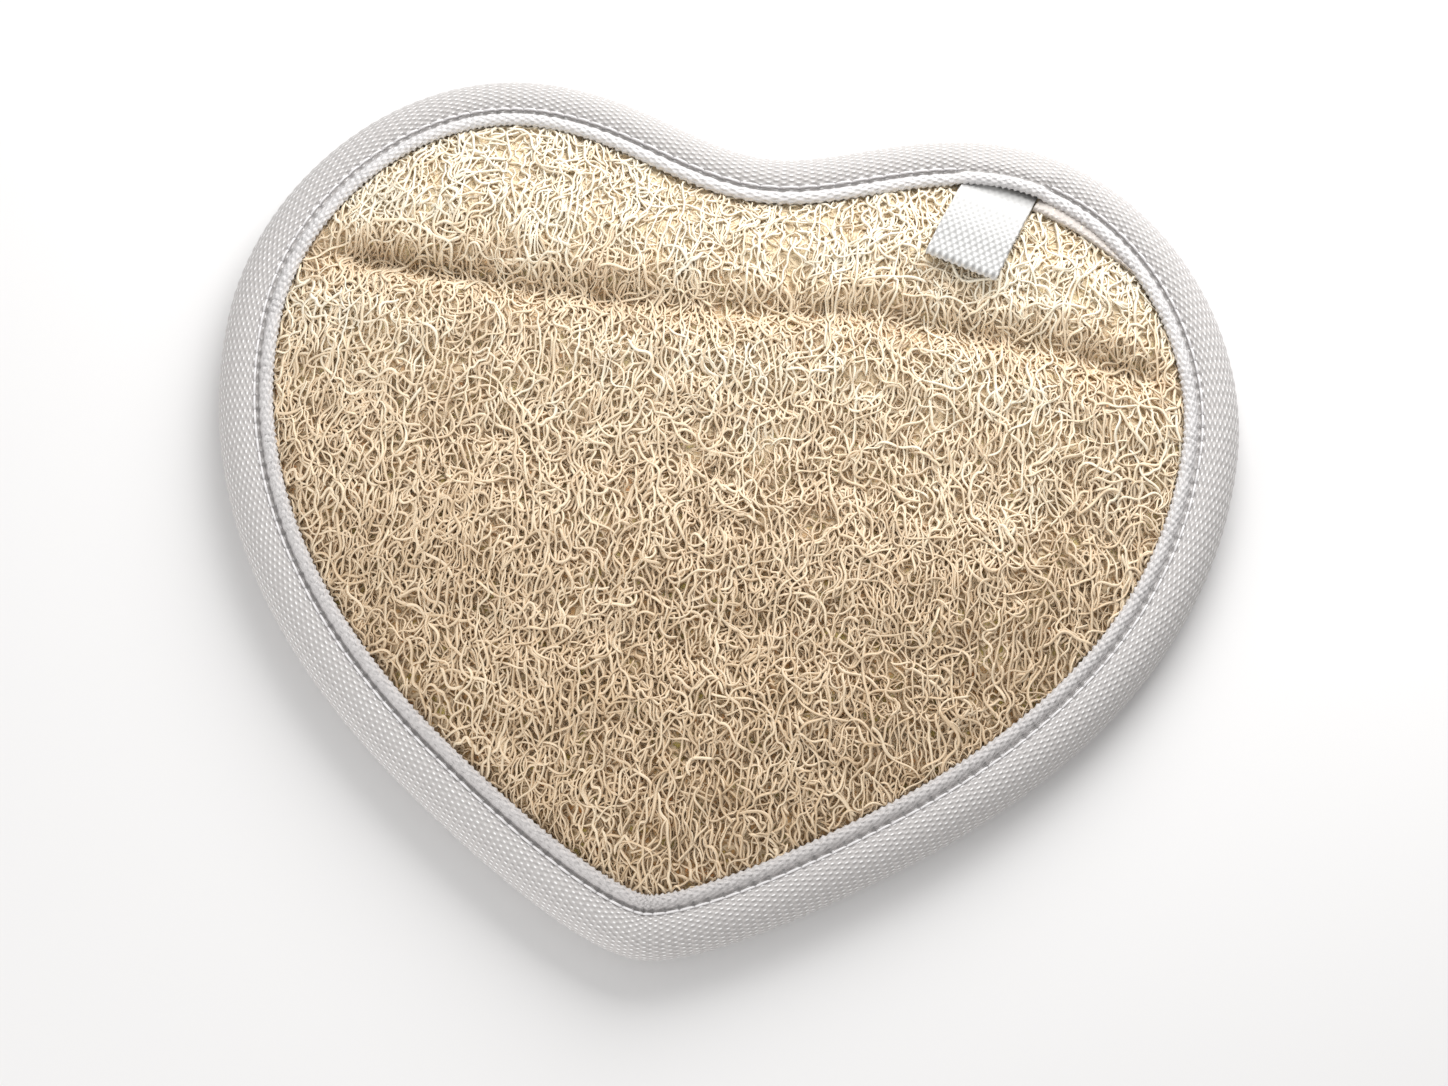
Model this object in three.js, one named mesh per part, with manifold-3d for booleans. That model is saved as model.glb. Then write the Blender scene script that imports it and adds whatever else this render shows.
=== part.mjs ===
// A heart-shaped loofah scrubbing pad, lying on its towelling back with the loofah face up.
// Units are millimetres. +X is to the right, +Y towards the cleft and +Z out of the loofah face.
// The origin is on the surface that the pad lies on, under the middle of its bounding box.
import * as THREE from "three";
import { mergeVertices } from "three/addons/utils/BufferGeometryUtils.js";
import Module from "manifold-3d";

const wasm = await Module();
wasm.setup();

// The heart's outline, and the lengths of the handles of its curves
const WIDTH = 150;
const HEIGHT = 130;
const CLEFT_DROP = 7.3; // from the tops of the lobes down to the cleft
const LOBE_X = 34.3; // from the middle to the top of a lobe
const SIDE_Y = 20.5; // height of the widest place
const FLANK_X = 40.3;
const FLANK_Y = -42.75;
const FLANK_SLOPE = THREE.MathUtils.degToRad(38.4);
const HANDLE = {
  cleft: 10.1,
  lobeInner: 14.6,
  lobeOuter: 22.8,
  sideUpper: 22.2,
  sideLower: 21.5,
  flankUpper: 32,
  flankLower: 3,
  tip: 11.3,
};

// The folded tape round the edge. A depth is measured inwards from the outline.
const TAPE_THICKNESS = 0.8;
const EDGE_TOP = 8.5; // top of the tape's front shoulder
const EDGE_MIDDLE = 4.4;
const EDGE_BOTTOM = 0.3;
const SHOULDER_DEPTH = 4;
const OUTER_ROUNDING = [[SHOULDER_DEPTH, 0], [1.7, 0.7], [0.4, 2.2]]; // depth, and drop from the shoulder
const INNER_ROUNDING = [[SHOULDER_DEPTH, 0], [1.7, 1]];
const SEAM_DEPTH = 5.9;
const SEAM_PINCH = 0.6; // how far the stitches pull the tape in
const LIP_DEPTH = 8.2; // where the tape's woven edge ends on the front
const LIP_BEVEL = 0.25;
const BACK_LIP_DEPTH = 8;
const GAP = 0.3; // between pieces that touch

// The start of the tape shows under its end, to the right of the loop
const TAIL_START_X = 43.5;
const TAIL_LENGTH = 22;
const TAIL_REACH = 2.4;

// The loofah: a pressed slab, crowned and folded, with its net of fibres raised larger than life
const CROWN_RISE = 5.2;
const CROWN_RUN = 26; // over this depth past the lip
const CROWN_POWER = 2.2;
const LOOFAH_EDGE_TOP = EDGE_TOP - TAPE_THICKNESS - GAP;
const CELL_X = 4.2;
const CELL_Y = 5.8;
const CELL_JITTER = 0.24;
const RIDGE_RISE = 0.6;
const PIT_DEPTH = 1.7;
const SEED = 7;
const FOLDS = [
  { y: 31, rise: -2.8, spread: 3.5 },
  { y: 42, rise: 0.9, spread: 5.5 },
  { y: 23, rise: 0.7, spread: 5 },
  { y: 7, rise: -0.8, spread: 5 },
  { y: -7, rise: 0.5, spread: 6 },
  { y: -20, rise: -0.8, spread: 4.5 },
  { y: -37, rise: -0.5, spread: 4 },
];
const FOLD_SWAY = 1.4;
const FOLD_SWAY_LENGTH = 15;

// The towelling back, and where its top meets the loofah: depth and height
const BACK_THICKNESS = 1.9;
const BACK_FLAT_DEPTH = 15; // inside this depth the back lies flat
const BACK_EDGE_DEPTH = 9;
const BACK_SLACK = 0.1;
const LAYERS_DEPTH = 1.6; // where both layers end inside the tape's fold
const LAYERS_SHOULDER = 2.6;
const NORMAL_DEPTH = 9.5; // deeper points lie straight towards the middle
const BACK_TOP = [
  [LAYERS_DEPTH, 3.3],
  [SHOULDER_DEPTH, 3.1],
  [SEAM_DEPTH, 3.2],
  [LIP_DEPTH, 3],
  [NORMAL_DEPTH, 2.7],
  [BACK_FLAT_DEPTH, BACK_THICKNESS],
];

// The hanging loop: a short white tape, folded double and caught under the lip
const LOOP_WIDTH = 11;
const LOOP_LENGTH = 16; // beyond the lip, at the middle of its width
const LOOP_ROOT = 4; // hidden under the lip
const LOOP_PLY = 0.65;
const LOOP_SLIT = 0.5;
const LOOP_X = 35.5;
const LOOP_Y = HEIGHT / 2 - LIP_DEPTH;
const LOOP_TURN = THREE.MathUtils.degToRad(15);
const LOOP_ROOT_Z = 4.9;
const LOOP_BEND_START = 2.6;
const LOOP_BEND_END = 7;
const LOOP_LIFT = 0.5; // over the raised net

// The sewing thread, one run on the front and one on the back
const STITCHES = 72;
const THREAD_WIDTH = 0.5;
const THREAD_RISE = 0.3;
const THREAD_DIP = 0.15; // lower at each needle hole

const STATIONS = 80;
const MIDDLE = new THREE.Vector2(0, 5);
const SKY = 40; // above everything, for pieces that are cut

// The outline as a closed curve, clockwise from the cleft
function heartShape() {
  const lobeTop = HEIGHT / 2;
  const cleft = new THREE.Vector2(0, lobeTop - CLEFT_DROP);
  const lobe = new THREE.Vector2(LOBE_X, lobeTop);
  const side = new THREE.Vector2(WIDTH / 2, SIDE_Y);
  const flank = new THREE.Vector2(FLANK_X, FLANK_Y);
  const tip = new THREE.Vector2(0, -HEIGHT / 2);
  const along = new THREE.Vector2(-Math.cos(FLANK_SLOPE), -Math.sin(FLANK_SLOPE));
  const right = new THREE.Vector2(1, 0);
  const up = new THREE.Vector2(0, 1);
  const off = (point, direction, length) => point.clone().addScaledVector(direction, length);
  const curves = [
    [cleft, off(cleft, right, HANDLE.cleft), off(lobe, right, -HANDLE.lobeInner), lobe],
    [lobe, off(lobe, right, HANDLE.lobeOuter), off(side, up, HANDLE.sideUpper), side],
    [side, off(side, up, -HANDLE.sideLower), off(flank, along, -HANDLE.flankUpper), flank],
    [flank, off(flank, along, HANDLE.flankLower), off(tip, right, HANDLE.tip), tip],
  ];
  const shape = new THREE.Shape();
  shape.moveTo(cleft.x, cleft.y);
  for (const [, a, b, end] of curves) shape.bezierCurveTo(a.x, a.y, b.x, b.y, end.x, end.y);
  for (const [end, b, a] of [...curves].reverse())
    shape.bezierCurveTo(-a.x, a.y, -b.x, b.y, -end.x, end.y);
  return shape;
}

const outline = heartShape();
const perimeter = outline.getLength();

// Evenly spaced places on the outline, each with its inward normal
function stationsOf(count) {
  return Array.from({ length: count }, (_, i) => {
    const point = outline.getPoint(i / count);
    const tangent = outline.getTangent(i / count);
    return { point, inward: new THREE.Vector2(tangent.y, -tangent.x), run: (i / count) * perimeter };
  });
}

const stations = stationsOf(STATIONS);

// The point at a depth inside a station
function inset(station, depth) {
  const point = station.point
    .clone()
    .addScaledVector(station.inward, Math.min(depth, NORMAL_DEPTH));
  if (depth <= NORMAL_DEPTH) return point;
  const towards = MIDDLE.clone().sub(point).normalize();
  return point.addScaledVector(towards, depth - NORMAL_DEPTH);
}

// How deep a point lies inside the outline; 0 outside it
function depthOf(x, y) {
  const corners = stations.map((station) => station.point);
  let nearest = Infinity;
  let inside = false;
  corners.forEach((a, i) => {
    const b = corners[(i + 1) % corners.length];
    const edge = b.clone().sub(a);
    const offset = new THREE.Vector2(x - a.x, y - a.y);
    const share = THREE.MathUtils.clamp(offset.dot(edge) / edge.lengthSq(), 0, 1);
    nearest = Math.min(nearest, offset.addScaledVector(edge, -share).length());
    if (a.y > y !== b.y > y && x < ((b.x - a.x) * (y - a.y)) / (b.y - a.y) + a.x) inside = !inside;
  });
  return inside ? nearest : 0;
}

// A closed ring: at every station, the loop of [depth, height] points that sectionAt gives
function ringGeometry(places, sectionAt) {
  const positions = [];
  const indices = [];
  const sides = sectionAt(places[0], 0).length;
  places.forEach((station, i) => {
    for (const [depth, z] of sectionAt(station, i)) {
      const point = inset(station, depth);
      positions.push(point.x, point.y, z);
    }
    const here = i * sides;
    const next = ((i + 1) % places.length) * sides;
    for (let j = 0; j < sides; j++) {
      const k = (j + 1) % sides;
      indices.push(here + j, next + k, here + k);
      indices.push(here + j, next + j, next + k);
    }
  });
  return geometryOf(positions, indices);
}

// A closed slab: its profile runs from inside the underside, round the edge, to inside the top,
// and both ends are joined to the middle
function slabGeometry(profileAt) {
  const positions = [];
  const indices = [];
  const profiles = stations.map(profileAt);
  const rings = profiles[0].length;
  stations.forEach((station, i) => {
    for (const [depth, z] of profiles[i]) {
      const point = inset(station, depth);
      positions.push(point.x, point.y, z);
    }
  });
  const under = positions.length / 3;
  positions.push(MIDDLE.x, MIDDLE.y, profiles[0][0][1]);
  positions.push(MIDDLE.x, MIDDLE.y, profiles[0][rings - 1][1]);
  stations.forEach((_, i) => {
    const here = i * rings;
    const next = ((i + 1) % stations.length) * rings;
    for (let j = 0; j + 1 < rings; j++) {
      indices.push(here + j, here + j + 1, next + j + 1);
      indices.push(here + j, next + j + 1, next + j);
    }
    indices.push(under, here, next, under + 1, next + rings - 1, here + rings - 1);
  });
  return geometryOf(positions, indices);
}

function geometryOf(positions, indices) {
  const geometry = new THREE.BufferGeometry();
  geometry.setAttribute("position", new THREE.Float32BufferAttribute(positions, 3));
  geometry.setIndex(indices);
  return geometry;
}

// A geometry as a solid that can be cut, and back
function solidOf(geometry) {
  const bare = geometry.clone();
  bare.deleteAttribute("normal");
  bare.deleteAttribute("uv");
  const merged = mergeVertices(bare);
  const mesh = new wasm.Mesh({
    numProp: 3,
    vertProperties: merged.attributes.position.array,
    triVerts: new Uint32Array(merged.index.array),
  });
  return new wasm.Manifold(mesh);
}

function geometryFrom(solid) {
  const { vertProperties, triVerts } = solid.getMesh();
  return geometryOf([...vertProperties], [...triVerts]);
}

// Numbers from 0 to 1 that are the same on every run
function seeded(seed) {
  let state = seed;
  return () => {
    state = (state + 0x6d2b79f5) | 0;
    let mixed = Math.imul(state ^ (state >>> 15), 1 | state);
    mixed = (mixed + Math.imul(mixed ^ (mixed >>> 7), 61 | mixed)) ^ mixed;
    return ((mixed ^ (mixed >>> 14)) >>> 0) / 2 ** 32;
  };
}

// How far the tape's front edge reaches in: further where its start shows under its end
const tailStart = stationsOf(STATIONS * 4).find((station) => station.point.x > TAIL_START_X).run;

function lipDepth(run) {
  const share = (run - tailStart) / TAIL_LENGTH;
  const tail = share < 0 || share > 1 ? 0 : TAIL_REACH * (1 - share ** 2);
  return LIP_DEPTH + Math.max(LIP_BEVEL, tail);
}

// The tape's section, from its front lip round the outer edge to its back lip and back inside
function tapeSection({ run }) {
  const lip = lipDepth(run);
  const innerTop = EDGE_TOP - TAPE_THICKNESS;
  const innerBottom = EDGE_BOTTOM + TAPE_THICKNESS;
  const outer = [
    [lip, EDGE_TOP - 2 * LIP_BEVEL],
    [LIP_DEPTH, EDGE_TOP],
    [SEAM_DEPTH, EDGE_TOP - SEAM_PINCH],
    ...OUTER_ROUNDING.map(([depth, drop]) => [depth, EDGE_TOP - drop]),
    [0, EDGE_MIDDLE],
    ...OUTER_ROUNDING.map(([depth, drop]) => [depth, EDGE_BOTTOM + drop]).reverse(),
    [SEAM_DEPTH, EDGE_BOTTOM + SEAM_PINCH],
    [BACK_LIP_DEPTH, EDGE_BOTTOM],
  ];
  const inner = [
    [BACK_LIP_DEPTH, innerBottom],
    [SEAM_DEPTH, innerBottom + SEAM_PINCH],
    ...INNER_ROUNDING.map(([depth, drop]) => [depth, innerBottom + drop]),
    [TAPE_THICKNESS, EDGE_MIDDLE],
    ...INNER_ROUNDING.map(([depth, drop]) => [depth, innerTop - drop]).reverse(),
    [SEAM_DEPTH, innerTop - SEAM_PINCH],
    [LIP_DEPTH, innerTop],
    [lip, innerTop],
  ];
  return [...outer, ...inner];
}

// The towelling, flat in the middle and pinched up under the tape
function backProfile() {
  const clear = EDGE_BOTTOM + TAPE_THICKNESS + GAP;
  const underside = [
    [BACK_FLAT_DEPTH, 0],
    [BACK_EDGE_DEPTH, EDGE_BOTTOM + TAPE_THICKNESS],
    [LIP_DEPTH, clear + BACK_SLACK],
    [SEAM_DEPTH, clear + SEAM_PINCH],
    [SHOULDER_DEPTH, clear + BACK_SLACK],
    [LAYERS_SHOULDER, clear + 0.7],
    [LAYERS_DEPTH, clear + 1.5],
  ];
  return [...underside, ...BACK_TOP];
}

// The loofah's bounds: on the towelling, inside the tape, and open above within the lip
function loofahProfile({ run }) {
  const underside = [...BACK_TOP].reverse().map(([depth, z]) => [depth, z + GAP]);
  const wall = lipDepth(run) + 2 * GAP;
  const top = [
    [LAYERS_DEPTH, EDGE_MIDDLE + 0.9],
    [LAYERS_SHOULDER, LOOFAH_EDGE_TOP - 0.7],
    [SHOULDER_DEPTH, LOOFAH_EDGE_TOP],
    [SEAM_DEPTH, LOOFAH_EDGE_TOP - SEAM_PINCH],
    [LIP_DEPTH, LOOFAH_EDGE_TOP],
    [wall, LOOFAH_EDGE_TOP],
    [wall + 0.01, SKY],
  ];
  return [...underside, ...top];
}

// The height of the loofah face without its net: crowned, with folds across it
function faceHeight(x, y) {
  const share = THREE.MathUtils.clamp((depthOf(x, y) - LIP_DEPTH) / CROWN_RUN, 0, 1);
  const crown = CROWN_RISE * (1 - (1 - share) ** CROWN_POWER);
  const sway = FOLD_SWAY * Math.sin(x / FOLD_SWAY_LENGTH);
  const folds = FOLDS.reduce(
    (sum, fold) => sum + fold.rise * Math.exp(-(((y - fold.y - sway) / fold.spread) ** 2)),
    0,
  );
  const fade = THREE.MathUtils.smoothstep(share, 0, 0.35);
  return LOOFAH_EDGE_TOP + GAP + crown + folds * fade;
}

// A block whose top is the net: ridges of fibre round long open cells, in staggered rows
function netGeometry() {
  const random = seeded(SEED);
  const columns = Math.ceil(WIDTH / CELL_X) + 2;
  const rows = Math.ceil(HEIGHT / CELL_Y) + 2;
  const shake = (size) => (random() * 2 - 1) * CELL_JITTER * size;
  const pits = [];
  for (let j = 0; j <= rows; j++)
    for (let i = 0; i <= columns; i++) {
      const x = (i + (j % 2) / 2 - columns / 2) * CELL_X + shake(CELL_X);
      const y = (j - rows / 2) * CELL_Y + shake(CELL_Y);
      pits.push([x, y, faceHeight(x, y) - PIT_DEPTH * (0.6 + 0.4 * random())]);
    }
  const positions = [...pits, ...pits.map(([x, y]) => [x, y, -SKY])];
  const indices = [];
  const edges = new Map();
  const cross = (a, b, ridge) => {
    const key = a < b ? a + "-" + b : b + "-" + a;
    edges.set(key, [...(edges.get(key) ?? []), { a, b, ridge }]);
  };
  const addCellCorner = (a, b, c) => {
    const corners = [a, b, c].map((index) => positions[index]);
    const x = (corners[0][0] + corners[1][0] + corners[2][0]) / 3 + shake(CELL_X) / 2;
    const y = (corners[0][1] + corners[1][1] + corners[2][1]) / 3 + shake(CELL_Y) / 2;
    const ridge = positions.push([x, y, faceHeight(x, y) + RIDGE_RISE * random()]) - 1;
    cross(a, b, ridge);
    cross(b, c, ridge);
    cross(c, a, ridge);
    indices.push(a + pits.length, c + pits.length, b + pits.length);
  };
  for (let j = 0; j < rows; j++)
    for (let i = 0; i < columns; i++) {
      const a = j * (columns + 1) + i;
      const up = a + columns + 1;
      if (j % 2) {
        addCellCorner(a, a + 1, up + 1);
        addCellCorner(a, up + 1, up);
      } else {
        addCellCorner(a, a + 1, up);
        addCellCorner(a + 1, up + 1, up);
      }
    }
  for (const [one, other] of edges.values()) {
    if (other) indices.push(one.a, other.ridge, one.ridge, one.b, one.ridge, other.ridge);
    else {
      const below = pits.length;
      indices.push(one.a, one.b, one.ridge);
      indices.push(one.a + below, one.b + below, one.b, one.a + below, one.b, one.a);
    }
  }
  return geometryOf(positions.flat(), indices);
}

// The loop's own frame: along its length, up, and across its width
function loopFrame() {
  const along = new THREE.Vector3(-Math.sin(LOOP_TURN), -Math.cos(LOOP_TURN), 0);
  const up = new THREE.Vector3(0, 0, 1);
  const across = new THREE.Vector3().crossVectors(along, up);
  const corner = new THREE.Vector3(LOOP_X, LOOP_Y, 0).addScaledVector(across, -LOOP_WIDTH / 2);
  return new THREE.Matrix4().makeBasis(along, up, across).setPosition(corner);
}

// The underside of the loop, from its root to its fold
function loopUnderside() {
  const steps = 12;
  return Array.from({ length: steps + 1 }, (_, i) => {
    const s = THREE.MathUtils.lerp(-LOOP_ROOT, LOOP_LENGTH, i / steps);
    const x = LOOP_X - Math.sin(LOOP_TURN) * s;
    const y = LOOP_Y - Math.cos(LOOP_TURN) * s;
    const lying = faceHeight(x, y) + RIDGE_RISE + LOOP_LIFT;
    const share = THREE.MathUtils.smoothstep(s, LOOP_BEND_START, LOOP_BEND_END);
    return new THREE.Vector2(s, THREE.MathUtils.lerp(LOOP_ROOT_Z, lying, share));
  });
}

function loopShape() {
  const lower = loopUnderside();
  const raised = (points, height) => points.map((p) => new THREE.Vector2(p.x, p.y + height));
  const full = 2 * LOOP_PLY + LOOP_SLIT;
  const end = lower[lower.length - 1];
  const arc = (radius, steps) =>
    Array.from({ length: steps }, (_, i) => {
      const angle = (Math.PI * (i + 1)) / (steps + 1) - Math.PI / 2;
      return new THREE.Vector2(
        end.x + radius * Math.cos(angle),
        end.y + full / 2 + radius * Math.sin(angle),
      );
    });
  const outer = [...lower, ...arc(full / 2, 5), ...raised(lower, full).reverse()];
  const slit = [
    ...raised(lower, full - LOOP_PLY),
    ...arc(LOOP_SLIT / 2, 3).reverse(),
    ...raised(lower, LOOP_PLY).reverse(),
  ];
  return new THREE.Shape([...outer, ...slit]);
}

// The space that the loop needs in the loofah under it
function loopClearance() {
  const under = loopUnderside().map((p) => new THREE.Vector2(p.x, p.y - GAP));
  const first = under[0];
  const last = under[under.length - 1];
  const shape = new THREE.Shape([
    new THREE.Vector2(first.x - GAP, first.y),
    ...under,
    new THREE.Vector2(last.x + 1 + GAP, last.y),
    new THREE.Vector2(last.x + 1 + GAP, SKY),
    new THREE.Vector2(first.x - GAP, SKY),
  ]);
  const geometry = new THREE.ExtrudeGeometry(shape, {
    depth: LOOP_WIDTH + 2 * GAP,
    bevelEnabled: false,
  });
  return solidOf(geometry.translate(0, 0, -GAP).applyMatrix4(loopFrame()));
}

// A run of thread: it stands up on each stitch and dips at each needle hole
function threadGeometry(base, side) {
  return ringGeometry(stationsOf(2 * STITCHES), (_, i) => {
    const foot = base - side * THREAD_DIP * (i % 2);
    const crest = [SEAM_DEPTH, foot + side * THREAD_RISE];
    const left = [SEAM_DEPTH + THREAD_WIDTH / 2, foot];
    const right = [SEAM_DEPTH - THREAD_WIDTH / 2, foot];
    return side > 0 ? [left, crest, right] : [right, crest, left];
  });
}

function piece(name, geometry, color, roughness) {
  geometry.computeVertexNormals();
  const mesh = new THREE.Mesh(
    geometry,
    new THREE.MeshStandardMaterial({ color, roughness, metalness: 0 }),
  );
  mesh.name = name;
  return mesh;
}

function loofah() {
  const solid = solidOf(netGeometry())
    .intersect(solidOf(slabGeometry(loofahProfile)))
    .subtract(loopClearance());
  return piece("loofah", geometryFrom(solid), 0xdcc8a4, 0.75);
}

function towellingBack() {
  return piece("towelling_back", slabGeometry(backProfile), 0xefebe2, 0.95);
}

function bindingTape() {
  return piece("binding_tape", ringGeometry(stations, tapeSection), 0xcbc9c8, 0.6);
}

function hangingLoop() {
  const geometry = new THREE.ExtrudeGeometry(loopShape(), { depth: LOOP_WIDTH, bevelEnabled: false });
  const mesh = piece("hanging_loop", geometry, 0xf4f3f1, 0.7);
  mesh.applyMatrix4(loopFrame());
  return mesh;
}

function seamThreads() {
  const frontFoot = EDGE_TOP - SEAM_PINCH + GAP + THREAD_DIP;
  const backFoot = EDGE_BOTTOM + SEAM_PINCH - GAP - THREAD_DIP;
  return [
    piece("seam_thread_front", threadGeometry(frontFoot, 1), 0xd9d7d6, 0.5),
    piece("seam_thread_back", threadGeometry(backFoot, -1), 0xd9d7d6, 0.5),
  ];
}

const pad = new THREE.Group();
pad.add(loofah(), towellingBack(), bindingTape(), hangingLoop(), ...seamThreads());

export default pad;
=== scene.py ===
import math

import bmesh
import bpy
import numpy as np
from mathutils import Matrix, Vector


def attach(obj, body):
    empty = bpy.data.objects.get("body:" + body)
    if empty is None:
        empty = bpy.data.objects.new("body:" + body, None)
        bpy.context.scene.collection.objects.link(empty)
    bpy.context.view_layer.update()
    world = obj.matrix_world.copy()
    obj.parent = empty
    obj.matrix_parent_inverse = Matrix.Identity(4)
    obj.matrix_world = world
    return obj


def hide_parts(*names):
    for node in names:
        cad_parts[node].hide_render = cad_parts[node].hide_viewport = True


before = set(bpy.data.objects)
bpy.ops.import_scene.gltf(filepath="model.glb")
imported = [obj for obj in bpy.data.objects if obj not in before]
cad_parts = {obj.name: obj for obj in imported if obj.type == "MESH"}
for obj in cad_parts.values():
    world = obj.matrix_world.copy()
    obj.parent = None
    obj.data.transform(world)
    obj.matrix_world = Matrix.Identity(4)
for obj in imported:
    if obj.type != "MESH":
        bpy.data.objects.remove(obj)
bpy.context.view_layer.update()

# The camera looks down on the pad from the tip's side, through an 85 mm lens.
MM = 0.001
LENS_MM = 85
SENSOR_MM = 36
CAMERA_TARGET = Vector((2.6, -1.5, 0)) * MM
CAMERA_DISTANCE = 500 * MM
CAMERA_ELEVATION = math.radians(72)
CAMERA_AZIMUTH = math.radians(10)
CAMERA_ROLL = math.radians(-1.5)

camera_turn = (
    Matrix.Rotation(CAMERA_AZIMUTH, 4, "Z")
    @ Matrix.Rotation(math.pi / 2 - CAMERA_ELEVATION, 4, "X")
    @ Matrix.Rotation(CAMERA_ROLL, 4, "Z")
)
camera_place = CAMERA_TARGET + camera_turn @ Vector((0, 0, CAMERA_DISTANCE))
camera_data = bpy.data.cameras.new("camera")
camera_data.lens = LENS_MM
camera_data.sensor_width = SENSOR_MM
camera = bpy.data.objects.new("camera", camera_data)
camera.matrix_world = Matrix.Translation(camera_place) @ camera_turn
bpy.context.collection.objects.link(camera)
bpy.context.scene.camera = camera


# A white floor under a soft light close beyond the lobes, a weak low one to the left of the tip,
# and an even white sky.
FLOOR_SIZE = 4.0
FLOOR_COLOR = (0.75, 0.742, 0.738)
KEY_PLACE = Vector((0.065, 0.27, 0.21))
KEY_SIZE = 0.28
KEY_POWER = 1.62
FILL_PLACE = Vector((-0.3, -0.45, 0.16))
FILL_SIZE = 0.36
FILL_POWER = 2.0
SKY_STRENGTH = 0.56


def new_object(name, data):
    obj = bpy.data.objects.new(name, data)
    bpy.context.collection.objects.link(obj)
    return obj


def plain_material(name, color, roughness):
    material = bpy.data.materials.new(name)
    material.use_nodes = True
    shader = material.node_tree.nodes["Principled BSDF"]
    shader.inputs["Base Color"].default_value = (*color, 1)
    shader.inputs["Roughness"].default_value = roughness
    return material


def soft_light(name, place, size, power):
    light = bpy.data.lights.new(name, "AREA")
    light.size = size
    light.energy = power
    obj = new_object(name, light)
    obj.matrix_world = Matrix.Translation(place) @ place.to_track_quat("Z", "Y").to_matrix().to_4x4()


floor_work = bmesh.new()
bmesh.ops.create_grid(floor_work, x_segments=1, y_segments=1, size=FLOOR_SIZE / 2)
floor_mesh = bpy.data.meshes.new("floor")
floor_work.to_mesh(floor_mesh)
floor_work.free()
floor = new_object("floor", floor_mesh)
floor_mesh.materials.append(plain_material("white floor", FLOOR_COLOR, 0.8))

soft_light("key", KEY_PLACE, KEY_SIZE, KEY_POWER)
soft_light("fill", FILL_PLACE, FILL_SIZE, FILL_POWER)
world = bpy.data.worlds.new("sky")
world.use_nodes = True
world.node_tree.nodes["Background"].inputs["Color"].default_value = (1, 1, 1, 1)
world.node_tree.nodes["Background"].inputs["Strength"].default_value = SKY_STRENGTH
bpy.context.scene.world = world
bpy.context.scene.view_settings.view_transform = "Standard"


# Towelling back: a heart of white terry cloth, flat in the middle and pinched up under the tape.
# A knitted ground carries rows of small cotton loops, which make the side that lies down.
WIDTH = 150
HEIGHT = 130
CLEFT = (0, 57.7)
LOBE = (34.3, 65)
SIDE = (75, 20.5)
FLANK = (40.3, -42.75)
TIP = (0, -65)
FLANK_SLOPE = math.radians(38.4)
MIDDLE = np.array((0, 5))
NORMAL_DEPTH = 9.5
SHOULDER_DEPTH = 4
SEAM_DEPTH = 5.9
LIP_DEPTH = 8.2
BACK_FLAT_DEPTH = 15
GROUND_TOP = 1.9
GROUND_BOTTOM = 0.95
GROUND_STATIONS = 120
GROUND_PROFILE = [  # depth and height, from the middle of the underside round to the middle of the top
    (60, GROUND_BOTTOM),
    (BACK_FLAT_DEPTH, GROUND_BOTTOM),
    (9, 1.4),
    (LIP_DEPTH, 1.5),
    (SEAM_DEPTH, 2),
    (SHOULDER_DEPTH, 1.5),
    (2.6, 2.1),
    (1.6, 2.9),
    (1.6, 3.3),
    (SHOULDER_DEPTH, 3.1),
    (SEAM_DEPTH, 3.2),
    (LIP_DEPTH, 3),
    (NORMAL_DEPTH, 2.7),
    (BACK_FLAT_DEPTH, GROUND_TOP),
    (60, GROUND_TOP),
]
PILE_SPACING = 1.7
PILE_THREAD = 0.24
PILE_LOOP = (-0.62, -0.52, 0, 0.52, 0.62)
PILE_DROP = (1.15, 0.5, 0.28, 0.5, 1.15)
PILE_EDGE = 9.2
PILE_SEED = 3
COTTON = (0.86, 0.84, 0.78)
COTTON_SHADE = (0.62, 0.59, 0.52)


def bezier(a, b, c, d, count):
    """Points on a cubic curve, without its last one."""
    t = np.linspace(0, 1, count, endpoint=False)[:, None]
    a, b, c, d = (np.array(p, float) for p in (a, b, c, d))
    return (1 - t) ** 3 * a + 3 * (1 - t) ** 2 * t * b + 3 * (1 - t) * t**2 * c + t**3 * d


def evenly(points, count, closed=False):
    """Points at even steps along a line of points, and its length."""
    steps = np.linalg.norm(np.diff(points, axis=0), axis=1)
    run = np.concatenate([[0], np.cumsum(steps)])
    places = np.linspace(0, run[-1], count, endpoint=not closed)
    return np.column_stack([np.interp(places, run, axis) for axis in points.T]), run[-1]


def heart_outline(count):
    """Even points round the heart, clockwise from the cleft, their inward normals, and its length."""
    along = np.array((-math.cos(FLANK_SLOPE), -math.sin(FLANK_SLOPE)))
    flank = np.array(FLANK)
    right = np.vstack([
        bezier(CLEFT, (10.1, CLEFT[1]), (LOBE[0] - 14.6, LOBE[1]), LOBE, 200),
        bezier(LOBE, (LOBE[0] + 22.8, LOBE[1]), (SIDE[0], SIDE[1] + 22.2), SIDE, 200),
        bezier(SIDE, (SIDE[0], SIDE[1] - 21.5), flank - 32 * along, FLANK, 200),
        bezier(FLANK, flank + 3 * along, (11.3, TIP[1]), TIP, 200),
        np.array([TIP]),
    ])
    points, length = evenly(np.vstack([right, right[-2::-1] * (-1, 1)]), count, closed=True)
    ahead = np.roll(points, -1, axis=0) - np.roll(points, 1, axis=0)
    ahead /= np.linalg.norm(ahead, axis=1)[:, None]
    return points, np.column_stack([ahead[:, 1], -ahead[:, 0]]), length


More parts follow.
